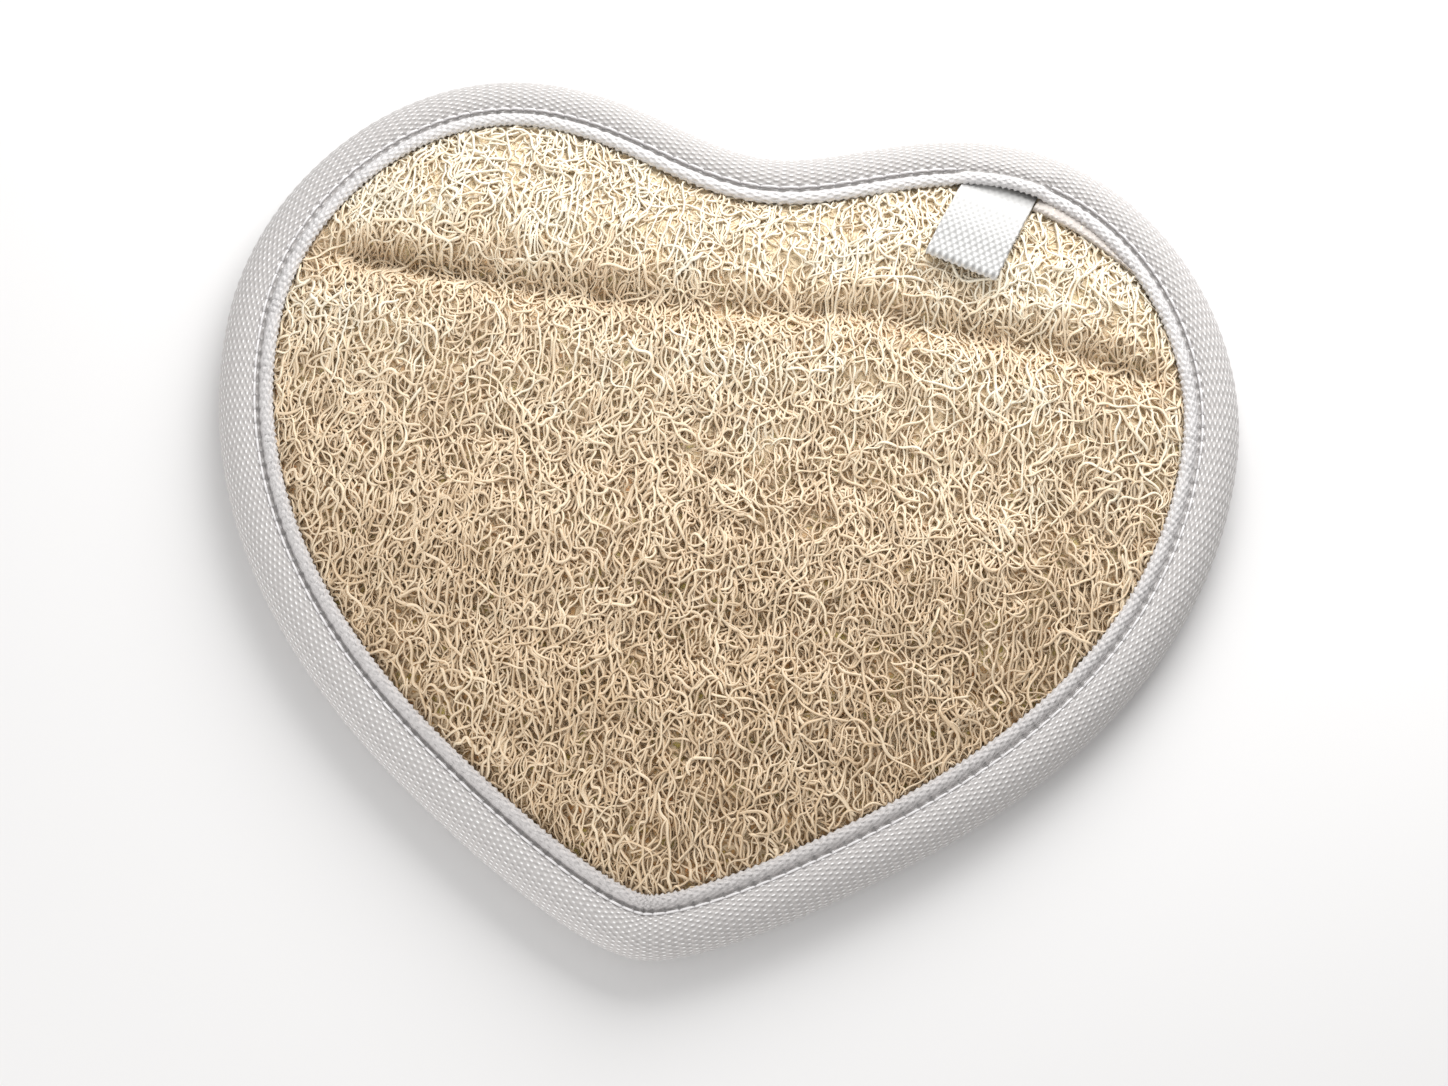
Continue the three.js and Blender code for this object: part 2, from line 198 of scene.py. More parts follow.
def inset(points, inward, depth):
    """The points at a depth inside the outline: along its normals, and then towards the middle."""
    near = points + inward * np.minimum(depth, NORMAL_DEPTH)[..., None]
    towards = MIDDLE - near
    towards /= np.maximum(np.linalg.norm(towards, axis=-1), 1e-6)[..., None]
    return near + towards * np.maximum(depth - NORMAL_DEPTH, 0)[..., None]


def bent_grid(name, columns, rows, place_at, uv_at=None):
    """A grid bent into a closed shape. Its columns and rows give each point's place in mm, and its UV."""
    work = bmesh.new()
    bmesh.ops.create_grid(work, x_segments=columns, y_segments=rows, size=0.5)
    flat = np.array([vert.co for vert in work.verts])
    column = np.rint((flat[:, 0] + 0.5) * columns).astype(int)
    row = np.rint((flat[:, 1] + 0.5) * rows).astype(int)
    if uv_at:
        layer = work.loops.layers.uv.new("weave")
        uvs = uv_at(column, row)
        for face in work.faces:
            for loop in face.loops:
                loop[layer].uv = uvs[loop.vert.index]
    for vert, place in zip(work.verts, place_at(column, row) * MM):
        vert.co = place
    bmesh.ops.remove_doubles(work, verts=work.verts, dist=1e-6)
    bmesh.ops.recalc_face_normals(work, faces=work.faces)
    mesh = bpy.data.meshes.new(name)
    work.to_mesh(mesh)
    work.free()
    mesh.shade_smooth()
    return new_object(name, mesh)


def heart_slab(name, stations, profile, lift=None):
    """A closed heart-shaped slab whose edge follows a profile of depths and heights."""
    points, inward, _ = heart_outline(stations)
    depths, heights = np.array(profile, float).T

    def place_at(column, row):
        column = column % stations
        flat = inset(points[column], inward[column], depths[row])
        flat[(row == 0) | (row == len(profile) - 1)] = MIDDLE
        height = heights[row] + (lift(flat, row) if lift else 0)
        return np.column_stack([flat, height])

    return bent_grid(name, stations, len(profile) - 1, place_at)


def tube_piece(name, strands, radius, sides, tones=None):
    """Fibres or threads as closed tubes. A strand is an array of x, y, z and radius factor, in mm."""
    section = bpy.data.curves.new(name + "_section", "CURVE")
    ring = section.splines.new("POLY")
    ring.points.add(sides - 1)
    ring.use_cyclic_u = True
    for k, point in enumerate(ring.points):
        angle = 2 * math.pi * k / sides
        point.co = (radius * MM * math.cos(angle), radius * MM * math.sin(angle), 0, 1)
    section_object = new_object(name + "_section", section)
    curve = bpy.data.curves.new(name + "_path", "CURVE")
    curve.dimensions = "3D"
    curve.bevel_mode = "OBJECT"
    curve.bevel_object = section_object
    for strand in strands:
        spline = curve.splines.new("POLY")
        spline.points.add(len(strand) - 1)
        spline.points.foreach_set("co", np.column_stack([strand[:, :3] * MM, np.ones(len(strand))]).ravel())
        spline.points.foreach_set("radius", strand[:, 3])
    path = new_object(name + "_path", curve)
    depsgraph = bpy.context.evaluated_depsgraph_get()
    mesh = bpy.data.meshes.new_from_object(path.evaluated_get(depsgraph))
    for obj in (path, section_object):
        data = obj.data
        bpy.data.objects.remove(obj)
        bpy.data.curves.remove(data)
    mesh.name = name
    if tones is not None:
        counts = [len(strand) * sides for strand in strands]
        values = np.repeat(tones, counts)
        tone = mesh.attributes.new("tone", "FLOAT", "POINT")
        tone.data.foreach_set("value", values)
    work = bmesh.new()
    work.from_mesh(mesh)
    bmesh.ops.holes_fill(work, edges=work.edges, sides=sides)
    bmesh.ops.recalc_face_normals(work, faces=work.faces)
    work.to_mesh(mesh)
    work.free()
    mesh.shade_smooth()
    return new_object(name, mesh)


def dress(piece, node, slot, *materials):
    """The piece stands for a node of the frame and moves with it."""
    for material in materials:
        piece.data.materials.append(material)
    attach(piece, "root")
    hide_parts(node)


class Nodes:
    """A material's nodes, added and linked by name."""

    def __init__(self, tree):
        self.tree = tree

    def add(self, kind, settings=None, **inputs):
        node = self.tree.nodes.new(kind)
        for name, value in (settings or {}).items():
            setattr(node, name, value)
        for name, value in inputs.items():
            self.set(node, name.replace("_", " "), value)
        return node

    def set(self, node, name, value):
        socket = node.inputs[int(name)] if name.isdigit() else node.inputs[name]
        if isinstance(value, bpy.types.NodeSocket):
            self.tree.links.new(value, socket)
        else:
            socket.default_value = value

    def math(self, operation, a, b=0.0, c=0.0):
        node = self.tree.nodes.new("ShaderNodeMath")
        node.operation = operation
        for k, value in enumerate((a, b, c)):
            self.set(node, str(k), value)
        return node.outputs[0]

    def mix(self, factor, a, b):
        node = self.tree.nodes.new("ShaderNodeMix")
        node.data_type = "RGBA"
        self.set(node, "0", factor)
        self.set(node, "6", a)
        self.set(node, "7", b)
        return node.outputs[2]


def finish_material(name, roughness):
    material = bpy.data.materials.new(name)
    material.use_nodes = True
    shader = material.node_tree.nodes["Principled BSDF"]
    shader.inputs["Roughness"].default_value = roughness
    return material, shader, Nodes(material.node_tree)


outline_points = heart_outline(900)[0]
MAP_STEP = 0.5
map_x = np.arange(-80, 80.1, MAP_STEP)
map_y = np.arange(-70, 70.1, MAP_STEP)


def signed_depth(x, y):
    """How deep points lie inside the outline, negative outside it."""
    depth = np.empty(x.shape)
    for start in range(0, len(x), 4000):
        part = slice(start, start + 4000)
        away = np.hypot(x[part, None] - outline_points[:, 0], y[part, None] - outline_points[:, 1])
        depth[part] = away.min(axis=1)
    inside = np.zeros(x.shape, bool)
    for (ax, ay), (bx, by) in zip(outline_points, np.roll(outline_points, -1, axis=0)):
        if ay != by:
            inside ^= ((ay > y) != (by > y)) & (x < (bx - ax) * (y - ay) / (by - ay) + ax)
    return np.where(inside, depth, -depth)


grid_x, grid_y = np.meshgrid(map_x, map_y)
depth_map = signed_depth(grid_x.ravel(), grid_y.ravel()).reshape(grid_x.shape)


def depth_at(x, y):
    """The depth inside the outline, read between the points of the depth map."""
    i = np.clip((x - map_x[0]) / MAP_STEP, 0, len(map_x) - 1.001)
    j = np.clip((y - map_y[0]) / MAP_STEP, 0, len(map_y) - 1.001)
    i0, j0 = i.astype(int), j.astype(int)
    fi, fj = i - i0, j - j0
    low = depth_map[j0, i0] * (1 - fi) + depth_map[j0, i0 + 1] * fi
    high = depth_map[j0 + 1, i0] * (1 - fi) + depth_map[j0 + 1, i0 + 1] * fi
    return low * (1 - fj) + high * fj


def scattered(spacing, shake, edge, random):
    """Points scattered on a triangular lattice, wherever the depth is more than edge."""
    rows = int(HEIGHT / (spacing * 0.87)) + 2
    columns = int(WIDTH / spacing) + 2
    i, j = np.meshgrid(np.arange(columns), np.arange(rows))
    x = ((i + (j % 2) / 2 - columns / 2 + random.uniform(-shake, shake, i.shape)) * spacing).ravel()
    y = ((j - rows / 2 + random.uniform(-shake, shake, i.shape)) * spacing * 0.87).ravel()
    inside = depth_at(x, y) > edge
    return np.column_stack([x[inside], y[inside]])


cotton, shader, nodes = finish_material("cotton towelling", 0.95)
place = nodes.add("ShaderNodeTexCoord").outputs["Object"]
fluff = nodes.add("ShaderNodeTexNoise", Vector=place, Scale=2600.0, Detail=3.0)
patches = nodes.add("ShaderNodeTexNoise", Vector=place, Scale=90.0, Detail=2.0)
patch_tone = nodes.math("MULTIPLY", patches.outputs["Fac"], 0.5)
tone = nodes.math("MULTIPLY_ADD", fluff.outputs["Fac"], 0.7, patch_tone)
nodes.set(shader, "Base Color", nodes.mix(tone, (*COTTON_SHADE, 1), (*COTTON, 1)))
bump = nodes.add("ShaderNodeBump", Height=fluff.outputs["Fac"], Strength=0.5, Distance=0.0001)
nodes.set(shader, "Normal", bump.outputs["Normal"])
shader.inputs["Sheen Weight"].default_value = 0.3

ground = heart_slab("towelling_ground", GROUND_STATIONS, GROUND_PROFILE)
dress(ground, "towelling_back", "towelling", cotton)
random = np.random.default_rng(PILE_SEED)
loops = []
for x, y in scattered(PILE_SPACING, 0.25, PILE_EDGE, random):
    turn = random.uniform(0, math.pi)
    reach = np.array(PILE_LOOP) * random.uniform(0.85, 1.15)
    loops.append(np.column_stack([
        x + reach * math.cos(turn) + random.normal(0, 0.06, len(reach)),
        y + reach * math.sin(turn) + random.normal(0, 0.06, len(reach)),
        PILE_DROP,
        np.ones(len(reach)),
    ]))
pile = tube_piece("towelling_pile", loops, PILE_THREAD, 3)
dress(pile, "towelling_back", "towelling", cotton)


# Loofah: the dried skeleton of a gourd, cut open and pressed flat, left in its natural colour.
# Its net of fibres is made strand by strand over a darker mat, and its edge is caught under the tape.
CROWN_RISE = 5.2
CROWN_RUN = 26
CROWN_POWER = 2.2
FACE_EDGE = 7.7
FOLD_SWAY = 1.4
FOLD_SWAY_LENGTH = 15
VALLEY = (31, -3.1, 2.6)  # y, rise and spread
FOLDS = [
    (42, 0.9, 5.5),
    (23, 0.7, 5),
    (7, -0.7, 5),
    (-7, 0.5, 6),
    (-20, -0.8, 4.5),
    (-37, -0.5, 4),
]
RIPPLE = 0.22
MAT_DROP = 0.85
MAT_PRESS = 0.22
MAT_EDGE_ROWS = 11
FIBRE_SEED = 11
NET_SHAKE = 0.34
WAVY_STEP = 0.5
TUCK_DEPTH = LIP_DEPTH + 0.6
TUCK_RUN = 1.3
TUCK_HEIGHT = 6.8
# Painted light and shade: the fibres and mat are painted paler towards the cleft, on the key light's side,
# and darker down the valley.
PAINTED_LIGHT_FROM = -30
PAINTED_LIGHT_TO = 60
VALLEY_PAINTED_SHADE = 0.4
VALLEY_PAINTED_SHADE_REACH = 9.5
MAT_BROWN = (0.50, 0.30, 0.13, 1)
MAT_OLIVE = (0.46, 0.37, 0.10, 1)
MAT_ORANGE = (0.80, 0.37, 0.12, 1)
MAT_NET = (0.72, 0.57, 0.38, 1)
# The mat's colour where painted light falls towards the cleft.
MAT_PAINTED_LIGHT = (0.91, 0.77, 0.545, 1)
FIBRE_DARK = (0.42, 0.25, 0.11, 1)
FIBRE_PALE = (0.93, 0.85, 0.695, 1)
FIBRE_BETWEEN = [  # place between the dark and the pale fibre, and colour
    (0.18, (0.58, 0.42, 0.255, 1)),
    (0.5, (0.75, 0.59, 0.41, 1)),
    (0.78, (0.865, 0.72, 0.525, 1)),
]
LAYERS = [
    # name, edge of the net's cells, its segments, two to an edge or one, segments of wavy fibres,
    # stretch and turn of the net, pull upright and straight, height, radius, tones
    ("loofah_fibres_under", 0.8, 23000, False, 5000, 1.3, 0.5, 0.0, 0.3, -0.5, 0.235, (0.36, 0.64)),
    ("loofah_fibres_loose", 0.85, 2000, True, 12000, 1.3, 0.0, 0.3, 0.5, -0.32, 0.225, (0.38, 0.7)),
    ("loofah_fibres_middle", 0.76, 20000, True, 10500, 1.6, -0.2, 0.2, 0.4, -0.14, 0.225, (0.42, 0.76)),
    ("loofah_fibres_top", 0.76, 15500, True, 15000, 1.8, 0.1, 0.3, 0.5, 0.08, 0.23, (0.46, 0.82)),
]
LOOP_X = 35.5
LOOP_Y = HEIGHT / 2 - LIP_DEPTH
LOOP_TURN = math.radians(15)
LOOP_WIDTH = 11
LOOP_LENGTH = 16
LOOP_ROOT = 4
LOOP_COURSE = [  # along the loop, and its underside: sewn in at fixed heights, then lying over the face
    (-LOOP_ROOT, 5.2),
    (-1.2, 6.1),
    (0.3, 7.15),
]
LOOP_LANDING = 5
LOOP_LIE = 0.25
LOOP_LIFT = 0.9


def ease(share):
    """A smooth step from 0 to 1."""
    share = np.clip(share, 0, 1)
    return share**2 * (3 - 2 * share)


def face_height(x, y):
    """The crowned and folded surface that the fibres lie about."""
    share = np.clip((depth_at(x, y) - LIP_DEPTH) / CROWN_RUN, 0, 1)
    crown = CROWN_RISE * (1 - (1 - share) ** CROWN_POWER)
    shifted = y - FOLD_SWAY * np.sin(x / FOLD_SWAY_LENGTH)
    folds = sum(rise * np.exp(-(((shifted - at) / spread) ** 2)) for at, rise, spread in FOLDS)
    at, rise, spread = VALLEY
    rise = rise * (0.7 + 0.5 * (x / 60) ** 2 - 0.2 * x / 60)
    folds += rise * np.exp(-(((shifted - at) / spread) ** 2))
    ripple = RIPPLE * (np.sin(x * 0.71 + 1.3 * np.sin(y * 0.33)) + np.sin(y * 0.93 + 1.7 * np.sin(x * 0.24)))
    return FACE_EDGE + crown + folds * ease(share / 0.35) + ripple * ease(share / 0.2)


def loop_place(along, across):
    """The point of the pad at a length along the hanging loop and a distance across it."""
    x = LOOP_X - math.sin(LOOP_TURN) * along - math.cos(LOOP_TURN) * across
    y = LOOP_Y - math.cos(LOOP_TURN) * along + math.sin(LOOP_TURN) * across
    return x, y


def loop_underside(along):
    """The height of the hanging loop's underside."""
    starts, heights = np.array(LOOP_COURSE).T
    sewn = np.interp(along, starts, heights)
    share = ease((along - starts[-1]) / (LOOP_LANDING - starts[-1]))
    end = ease((along - LOOP_LANDING) / (LOOP_LENGTH - LOOP_LANDING))
    lying = face_height(*loop_place(np.maximum(along, LOOP_LANDING / 2), 0)) + LOOP_LIE + LOOP_LIFT * end
    return sewn + (lying - sewn) * share


def along_loop(x, y):
    """How far along the hanging loop and across it a point lies."""
    x, y = x - LOOP_X, y - LOOP_Y
    along = -x * math.sin(LOOP_TURN) - y * math.cos(LOOP_TURN)
    return along, -x * math.cos(LOOP_TURN) + y * math.sin(LOOP_TURN)


def below_loop(x, y, z):
    """Heights held under the hanging loop where it lies."""
    along, across = along_loop(x, y)
    covered = (np.abs(across) < LOOP_WIDTH / 2 + 0.4) & (along > -LOOP_ROOT - 1) & (along < LOOP_LENGTH + 0.5)
    return np.where(covered, np.minimum(z, loop_underside(along) - 0.3), z)


def laid_strand(path, height, random):
    """A fibre laid over the face: its ends tucked under the tape, thinner at its tips."""
    x, y, rise = path.T
    level = face_height(x, y) + height + rise
    tucked = ease((TUCK_DEPTH - depth_at(x, y)) / TUCK_RUN)
    level = level * (1 - tucked) + np.minimum(level, TUCK_HEIGHT) * tucked
    girth = random.uniform(0.65, 1.25) * np.ones(len(x))
    girth[[0, -1]] = 0.4
    return np.column_stack([x, y, below_loop(x, y, level), girth])


def comb(edge, stretch, turn, shake, random):
    """The joints of a warped honeycomb, and the three neighbours of each, or -1 past the face's edge."""
    columns = int(WIDTH / edge / 1.5) + 4
    rows = int(WIDTH / edge / 1.7) + 4
    i, j, k = np.meshgrid(np.arange(columns), np.arange(rows), (0, 1), indexing="ij")
    x = (i - columns / 2) * 1.5 * edge + (k - 0.5) * edge
    y = (j - rows / 2 + (i % 2) / 2) * math.sqrt(3) * edge * stretch
    x, y = x * math.cos(turn) - y * math.sin(turn), x * math.sin(turn) + y * math.cos(turn)
    x = x + random.uniform(-shake, shake, x.shape) * edge
    y = y + random.uniform(-shake, shake, y.shape) * edge
    bend = random.uniform(0, 6, 4)
    x, y = (
        x + 0.8 * np.sin(y / 4.3 + bend[0]) + 0.3 * np.sin(y / 1.9 + x / 3.1 + bend[1]),
        y + 0.8 * np.sin(x / 4.9 + bend[2]) + 0.3 * np.sin(x / 2.3 - y / 2.7 + bend[3]),
    )
    index = np.arange(x.size).reshape(x.shape)
    joined = np.full((x.size, 3), -1)
    for side in (0, 1):
        step = 2 * side - 1
        here = index[1:-1, 1:-1, side].ravel()
        joined[here, 0] = index[1:-1, 1:-1, 1 - side].ravel()
        odd = np.arange(1, columns - 1) % 2
        for slot, up in ((1, 0), (2, -1)):
            rows_there = np.arange(1, rows - 1)[None, :] + odd[:, None] + up
            there = index[np.arange(1, columns - 1)[:, None] + step, rows_there, 1 - side]
            joined[here, slot] = there.ravel()
    x, y = x.ravel(), y.ravel()
    inside = depth_at(x, y) > LIP_DEPTH - 1.2
    joined[~inside] = -1
    joined[(joined >= 0) & ~inside[joined]] = -1
    return np.column_stack([x, y]), joined


def rounded(controls, halves):
    """A smooth path that cuts the corners of its controls, with or without the middles of its edges."""
    turns = 0.72 * controls[1:-1] + 0.14 * (controls[:-2] + controls[2:])
    if not halves:
        return np.vstack([controls[:1], turns, controls[-1:]])
    path = np.empty((2 * len(controls) - 1, controls.shape[1]))
    path[0], path[-1] = controls[0], controls[-1]
    path[1::2] = (controls[1:] + controls[:-1]) / 2
    path[2:-1:2] = turns
    return path


def net_strands(edge, segments, halves, stretch, turn, upright, straight, height, random):
    """Fibres that follow a honeycomb from joint to joint, so that they merge, part and leave round holes."""
    joints, joined = comb(edge, stretch, turn, NET_SHAKE, random)
    worn = np.zeros(joined.shape)
    starts = np.flatnonzero((joined >= 0).any(axis=1))
    strands = []
    used = 0
    while used < segments:
        tries = random.choice(starts, 8)
        here = tries[np.argmin(worn[tries].sum(axis=1))]
        before = -1
        heading = np.array((random.normal(0, 0.5), random.choice((-1.0, 1.0))))
        controls = [joints[here]]
        for _ in range(random.integers(6, 30)):
            ways = [slot for slot in range(3) if joined[here, slot] >= 0 and joined[here, slot] != before]
            if not ways:
                break
            steps = joints[joined[here, ways]] - joints[here]
            steps = steps / np.linalg.norm(steps, axis=1)[:, None]
            score = (
                straight * steps @ heading
                + upright * np.abs(steps[:, 1])
                - 0.8 * worn[here, ways]
                + random.normal(0, 0.3, len(ways))
            )
            best = int(np.argmax(score))
            slot = ways[best]
            there = joined[here, slot]
            worn[here, slot] += 1
            worn[there, joined[there] == here] += 1
            heading = 0.65 * heading + 0.35 * steps[best]
            before, here = here, there
            controls.append(joints[here])
        if len(controls) < 4:
            continue
        controls = np.array(controls) + random.normal(0, 0.12, 2) + random.normal(0, 0.07, (len(controls), 2))
        rises = random.normal(0, 0.14, len(controls))
        path = rounded(np.column_stack([controls, rises]), halves)
        strands.append(laid_strand(path, height + random.normal(0, 0.1), random))
        used += len(path) - 1
    return strands


def wavy_strands(segments, height, random):
    """Fibres that wander over the net in waves and curls, more or less towards the cleft."""
    starts = scattered(1, 0.5, LIP_DEPTH - 0.5, random)
    strands = []
    used = 0
    while used < segments:
        run = WAVY_STEP * np.arange(random.integers(10, 28))
        wave = random.uniform(0.3, 1.0) * np.sin(run * random.uniform(0.5, 1.3) + random.uniform(0, 6))
        drift = random.normal(0, 0.15) * run + np.cumsum(random.normal(0, 0.05, len(run)))
        heading = random.choice((-1, 1)) * math.pi / 2 + random.normal(0, 0.5) + wave + drift
        steps = WAVY_STEP * np.column_stack([np.cos(heading), np.sin(heading)])
        path = starts[random.integers(len(starts))] + np.cumsum(steps, axis=0)
        path = path[depth_at(*path.T) > LIP_DEPTH - 1]
        if len(path) < 6:
            continue
        rise = 0.16 * np.sin(np.arange(len(path)) * random.uniform(0.4, 0.9) + random.uniform(0, 6))
        strands.append(laid_strand(np.column_stack([path, rise]), height, random))
        used += len(path) - 1
    return strands


def bleach_group():
    """Painted light and shade: how much paler the fibres are painted towards the cleft, from 0 to 1, and less
    so down in the valley, as painted shade.
    """
    tree = bpy.data.node_groups.new("painted_light_and_shade", "ShaderNodeTree")
    tree.interface.new_socket("Value", in_out="OUTPUT", socket_type="NodeSocketFloat")
    group = Nodes(tree)
    leave = tree.nodes.new("NodeGroupOutput")
    place = group.add("ShaderNodeTexCoord").outputs["Object"]
    apart = group.add("ShaderNodeSeparateXYZ", Vector=place)
    share = group.add("ShaderNodeMapRange", {"interpolation_type": "SMOOTHSTEP"}, Value=apart.outputs["Y"])
    group.set(share, "From Min", PAINTED_LIGHT_FROM * MM)
    group.set(share, "From Max", PAINTED_LIGHT_TO * MM)
    turn = group.math("MULTIPLY", apart.outputs["X"], 1 / (FOLD_SWAY_LENGTH * MM))
    sway = group.math("MULTIPLY_ADD", group.math("SINE", turn), FOLD_SWAY * MM, VALLEY[0] * MM)
    away = group.math("ABSOLUTE", group.math("SUBTRACT", apart.outputs["Y"], sway))
    valley = group.add("ShaderNodeMapRange", {"interpolation_type": "SMOOTHSTEP"}, Value=away)
    group.set(valley, "From Min", VALLEY_PAINTED_SHADE_REACH * MM)
    group.set(valley, "From Max", 0.5 * MM)
    group.set(valley, "To Max", VALLEY_PAINTED_SHADE)
    paler = group.math("SUBTRACT", share.outputs["Result"], valley.outputs["Result"])
    tree.links.new(paler, leave.inputs["Value"])
    return tree


def mat_lift(flat, row):
    """The mat's top lies under the crowned face, closer towards the cleft, its edge under the tape."""
    x, y = flat.T
    drop = MAT_DROP - MAT_PRESS * ease((y + 5) / 50)
    under = below_loop(x, y, face_height(x, y) - drop)
    return np.where(row >= MAT_EDGE_ROWS, under - FACE_EDGE, 0)


MAT_PROFILE = [
    (60, GROUND_TOP + 0.3),
    (BACK_FLAT_DEPTH, GROUND_TOP + 0.3),
    (NORMAL_DEPTH, 3),
    (LIP_DEPTH, 3.3),
    (SEAM_DEPTH, 3.5),
    (SHOULDER_DEPTH, 3.4),
    (1.6, 3.6),
    (1.6, 5.3),
    (2.6, 6.7),
    (SHOULDER_DEPTH, 7.2),
    (SEAM_DEPTH, 6.6),
    *[(depth, FACE_EDGE) for depth in np.concatenate([np.arange(8.4, 28, 0.9), np.arange(28, 62, 1.5)])],
]

painted_light_tree = bleach_group()
loofah_mat, shader, nodes = finish_material("loofah mat", 0.8)
place = nodes.add("ShaderNodeTexCoord").outputs["Object"]
warp = nodes.add("ShaderNodeTexNoise", Vector=place, Scale=420.0, Detail=2.0)
bent = nodes.add("ShaderNodeVectorMath", {"operation": "MULTIPLY_ADD"})
nodes.set(bent, "0", warp.outputs["Color"])
nodes.set(bent, "1", (0.0016, 0.0016, 0.0016))
nodes.set(bent, "2", place)
cells = nodes.add(
    "ShaderNodeTexVoronoi", {"feature": "DISTANCE_TO_EDGE"}, Vector=bent.outputs[0], Scale=820.0
)
fine = nodes.add(
    "ShaderNodeTexVoronoi", {"feature": "DISTANCE_TO_EDGE"}, Vector=bent.outputs[0], Scale=1450.0
)
net = nodes.math(
    "MAXIMUM",
    nodes.math("SUBTRACT", 0.17, cells.outputs["Distance"]),
    nodes.math("SUBTRACT", 0.09, fine.outputs["Distance"]),
)
strand_mask = nodes.add("ShaderNodeMapRange", {"interpolation_type": "SMOOTHSTEP"}, Value=net)
nodes.set(strand_mask, "From Min", -0.02)
nodes.set(strand_mask, "From Max", 0.12)
hues = nodes.add("ShaderNodeTexNoise", Vector=place, Scale=330.0, Detail=1.0)
olive = nodes.add("ShaderNodeMapRange", Value=hues.outputs["Fac"], From_Min=0.52, From_Max=0.62)
orange = nodes.add("ShaderNodeMapRange", Value=hues.outputs["Fac"], From_Min=0.36, From_Max=0.28)
deep = nodes.mix(olive.outputs["Result"], MAT_BROWN, MAT_OLIVE)
deep = nodes.mix(orange.outputs["Result"], deep, MAT_ORANGE)
netted = nodes.mix(strand_mask.outputs["Result"], deep, MAT_NET)
# Painted light: the mat is painted paler towards the cleft and darker in the valley.
paler = nodes.math("MULTIPLY", nodes.add("ShaderNodeGroup", {"node_tree": painted_light_tree}).outputs["Value"], 0.7)
nodes.set(shader, "Base Color", nodes.mix(paler, netted, MAT_PAINTED_LIGHT))
bump = nodes.add("ShaderNodeBump", Height=strand_mask.outputs["Result"], Strength=0.7, Distance=0.0003)
nodes.set(shader, "Normal", bump.outputs["Normal"])

fibre, shader, nodes = finish_material("loofah fibre", 0.5)
tone = nodes.add("ShaderNodeAttribute", {"attribute_name": "tone"}).outputs["Fac"]
place = nodes.add("ShaderNodeTexCoord").outputs["Object"]
painted_light_and_shade = nodes.add("ShaderNodeGroup", {"node_tree": painted_light_tree}).outputs["Value"]
patches = nodes.add("ShaderNodeTexNoise", Vector=place, Scale=110.0, Detail=3.0)
grain = nodes.add("ShaderNodeTexNoise", Vector=place, Scale=3200.0, Detail=2.0)
shade = nodes.math("MULTIPLY_ADD", patches.outputs["Fac"], 0.5, nodes.math("SUBTRACT", tone, 0.49))
shade = nodes.math("MULTIPLY_ADD", grain.outputs["Fac"], 0.16, shade)
# Painted light: the fibres are painted paler towards the cleft and darker in the valley.
shade = nodes.math("MULTIPLY_ADD", painted_light_and_shade, 0.56, shade)
ramp = nodes.add("ShaderNodeValToRGB", Fac=shade)
ramp.color_ramp.elements[0].color = FIBRE_DARK
ramp.color_ramp.elements[1].color = FIBRE_PALE
for at, color in FIBRE_BETWEEN:
    ramp.color_ramp.elements.new(at).color = color
nodes.set(shader, "Base Color", ramp.outputs["Color"])
nodes.set(shader, "Roughness", nodes.math("MULTIPLY_ADD", grain.outputs["Fac"], 0.3, 0.35))
bump = nodes.add("ShaderNodeBump", Height=grain.outputs["Fac"], Strength=0.25, Distance=0.00006)
nodes.set(shader, "Normal", bump.outputs["Normal"])

mat = heart_slab("loofah_mat", 240, MAT_PROFILE, mat_lift)
dress(mat, "loofah", "loofah", loofah_mat)
random = np.random.default_rng(FIBRE_SEED)
for name, edge, segments, halves, wavy, stretch, turn, upright, straight, height, radius, tones in LAYERS:
    strands = net_strands(edge, segments, halves, stretch, turn, upright, straight, height, random)
    strands += wavy_strands(wavy, height + 0.1, random)
    layer = tube_piece(name, strands, radius, 3, random.uniform(*tones, len(strands)))
    dress(layer, "loofah", "loofah", fibre)


# Binding tape: one length of satin grey woven tape, folded round the edge of both layers.
# Its own corded selvedge ends it on each side, and a run of stitches pulls it in.
STITCHES = 186
TAPE_COLUMNS = 6 * STITCHES
TAPE_OUTER = [  # depth and height, from the front selvedge round the edge to the back one
    (8.15, 7.75), (8.42, 8.05), (8.3, 8.5), (7.85, 8.82), (7.3, 8.88), (6.75, 8.65), (6.38, 8.1), (6.2, 7.76),
    (6.0, 7.95), (5.6, 8.15), (5.0, 8.35), (4.0, 8.5), (3.0, 8.35), (2.1, 8.0), (1.3, 7.4), (0.65, 6.55),
    (0.2, 5.6), (0, 4.6), (0.05, 3.6), (0.5, 2.5), (1.5, 1.2), (3.0, 0.45), (4.6, 0.35), (5.7, 0.6),
    (6.2, 1.15), (6.5, 0.6), (7.3, 0.27), (8.15, 0.6),
]
FRONT_CREASE = 7
BACK_CREASE = 24
TAPE_INNER = [
    (8.0, 1.1), (6.2, 1.75), (4, 1.2), (1.7, 2.1), (0.8, 4.4), (1.7, 6.7), (4, 7.7), (6.2, 7.15), (7.9, 7.5),
]
RIBS = 466
YARN_PITCH = 0.38
RIB_RISE = 0.19
BAND_RIB = 0.05
PUCKER = 0.2
LOOP_BULGE = 0.9
TAPE_GREY = (0.47, 0.447, 0.435)
TAPE_FLOAT_HIGHLIGHT = (0.92, 0.91, 0.9)
TAPE_SHADE = (0.40, 0.38, 0.37)
SELVEDGE_COLOR = (0.69, 0.67, 0.665)
# Painted shade on the selvedge cords towards the tip, away from the key light.
SELVEDGE_SHADE_COLOR = (0.42, 0.39, 0.375, 1)
# Colour of the painted shade in the needle holes and the seam's crease.
SEAM_SHADE_COLOR = (0.33, 0.32, 0.315, 1)


